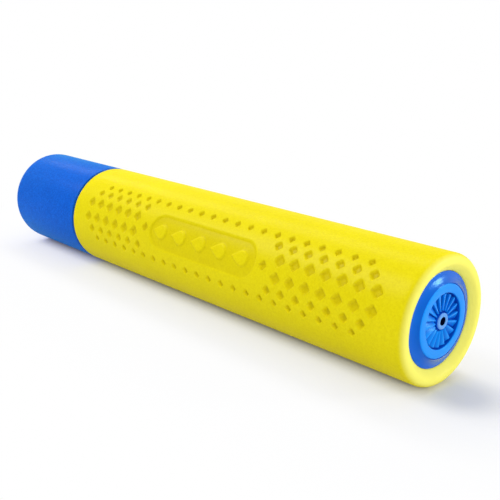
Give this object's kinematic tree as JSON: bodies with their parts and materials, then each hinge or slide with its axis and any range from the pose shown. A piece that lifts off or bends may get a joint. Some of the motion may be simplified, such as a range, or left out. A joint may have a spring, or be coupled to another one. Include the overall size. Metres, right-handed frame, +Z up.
{
  "type": "water squirter",
  "caption": "Hand squirter: a barrel in a thick foam sleeve, filled through its vaned nozzle by drawing a plunger with a foam grip, and emptied by pushing it.",
  "frame": {"origin": "on the surface it lies on, under the middle of its length with the plunger home", "axes": "+X along the barrel towards the nozzle, +Z up, the more visible side of the dimple band towards -Y"},
  "size_m": [0.334, 0.06, 0.06],
  "materials": {
    "yellow_foam": "matte closed-cell foam",
    "blue_foam": "matte closed-cell foam",
    "blue_gloss_plastic": "gloss",
    "blue_satin_plastic": "satin",
    "pale_blue_plastic": "satin",
    "white_plastic": "satin",
    "seal_rubber": "satin",
    "fastener_steel": "satin"
  },
  "bodies": {
    "barrel": {"foam_sleeve": "yellow_foam", "barrel_tube": "white_plastic", "nozzle_cap": "blue_gloss_plastic", "vane_insert": "blue_satin_plastic", "jet_tip": "pale_blue_plastic", "nozzle_gasket": "seal_rubber", "guide_cap": "blue_gloss_plastic", "guide_screws": "fastener_steel"},
    "seals": {"piston_ring_front": "seal_rubber", "piston_ring_rear": "seal_rubber"},
    "plunger": {"plunger_tube": "white_plastic", "piston_head": "white_plastic", "tube_front_plug": "white_plastic", "piston_washer": "fastener_steel", "piston_screw": "fastener_steel", "handle_core": "blue_gloss_plastic", "foam_grip": "blue_foam", "handle_pin": "fastener_steel", "handle_end_cap": "blue_gloss_plastic"}
  },
  "joints": [
    {"name": "plunger_draw", "type": "slide", "parent": "barrel", "child": "seals", "axis": [-1, 0, 0], "range_m": [0, 0.2075]},
    {"name": "plunger_turn", "type": "hinge", "parent": "seals", "child": "plunger", "pos_m": [0, 0, 0.03], "axis": [1, 0, 0], "continuous": true}
  ]
}
